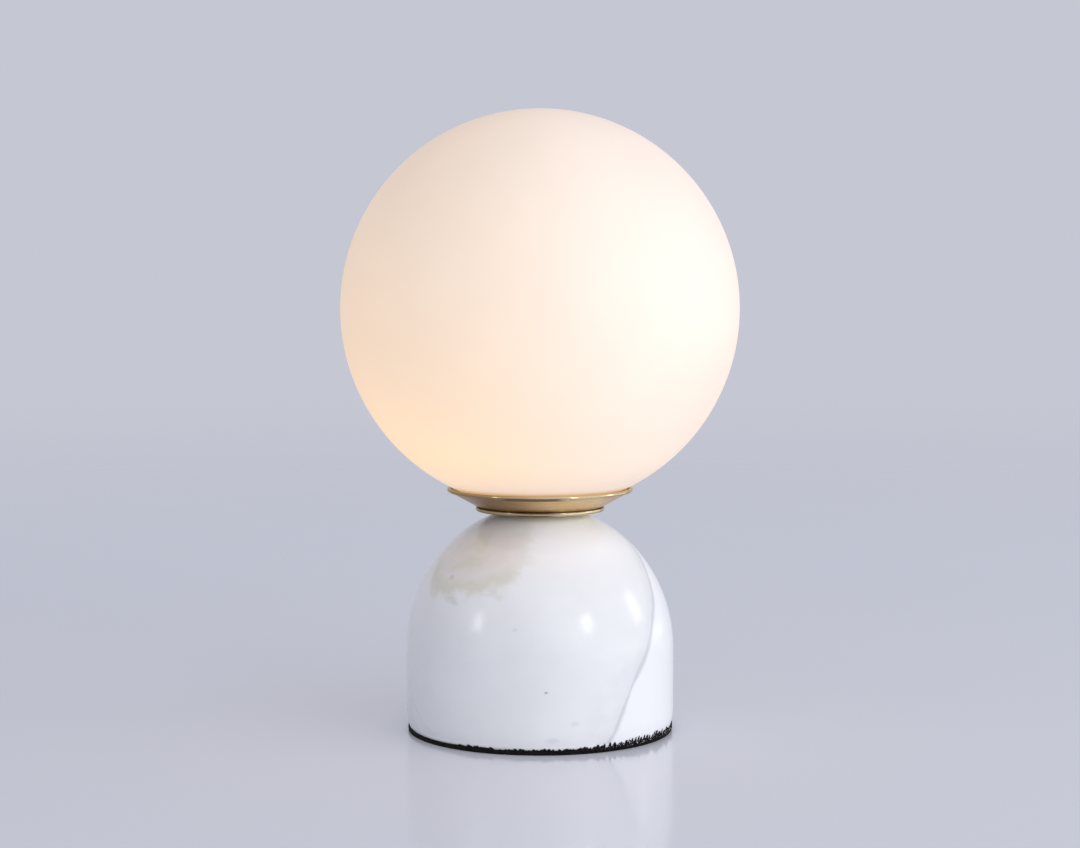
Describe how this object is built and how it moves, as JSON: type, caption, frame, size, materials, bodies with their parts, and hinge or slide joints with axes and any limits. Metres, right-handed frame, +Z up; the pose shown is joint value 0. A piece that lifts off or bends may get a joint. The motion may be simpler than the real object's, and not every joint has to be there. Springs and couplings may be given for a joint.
{
  "type": "glass globe table lamp",
  "caption": "Table lamp: lit opal glass globe in a shallow brass dish on a domed marble base; the globe lifts off its springs and the bulb pulls out.",
  "frame": {"origin": "centre of the underside of the base pad, where the lamp stands", "axes": "+Z up along the lamp's axis; -Y is the front; the cord inlet is at the back, +Y"},
  "size_m": [0.2, 0.2, 0.3129],
  "materials": {
    "black_foam": "matt closed-cell foam",
    "marble": "honed pale marble with faint veins",
    "black_rubber": "matt",
    "polished_brass": "polished",
    "satin_brass": "fine spun satin",
    "clear_silicone": "soft, milky",
    "opal_glass": "satin opal, lit from inside",
    "zinc_steel": "bright zinc plate",
    "spring_steel": "blued spring steel",
    "white_nylon": "matt",
    "contact_brass": "plain contact metal",
    "porcelain": "unglazed white",
    "led_phosphor": "yellow phosphor",
    "frosted_cover": "frosted",
    "brown_silicone": "matt",
    "blue_silicone": "matt",
    "earth_silicone": "matt green and yellow"
  },
  "bodies": {
    "base": {"base_pad": "black_foam", "marble_base": "marble", "cord_grommet": "black_rubber", "stone_washer": "black_rubber", "brass_foot_disc": "polished_brass", "brass_dish": "satin_brass", "globe_gasket": "clear_silicone", "spring_carrier": "zinc_steel", "globe_springs": "spring_steel", "spring_rivets": "zinc_steel", "threaded_tube": "zinc_steel", "clamp_plate": "zinc_steel", "bottom_lock_washer": "spring_steel", "top_lock_washer": "spring_steel", "bottom_nut": "zinc_steel", "top_nut": "zinc_steel", "tube_bushing": "white_nylon", "earth_tag": "contact_brass", "lampholder_bracket": "zinc_steel", "lampholder_body": "porcelain", "lampholder_contacts": "contact_brass", "lampholder_screws": "zinc_steel", "terminal_block": "white_nylon", "terminal_barrels": "contact_brass", "terminal_screws": "zinc_steel", "block_screws": "zinc_steel", "lead_live": "brown_silicone", "lead_neutral": "blue_silicone", "lead_earth": "earth_silicone"},
    "globe": {"glass_globe": "opal_glass"},
    "bulb": {"bulb_base": "white_nylon", "bulb_pins": "contact_brass", "bulb_core": "porcelain", "bulb_leds": "led_phosphor", "bulb_cover": "frosted_cover"}
  },
  "joints": [
    {"name": "globe_lift", "type": "slide", "parent": "base", "child": "globe", "axis": [0, 0, 1], "range_m": [0, 0.1]},
    {"name": "bulb_pull", "type": "slide", "parent": "base", "child": "bulb", "axis": [0, 0, 1], "range_m": [0, 0.015]}
  ]
}
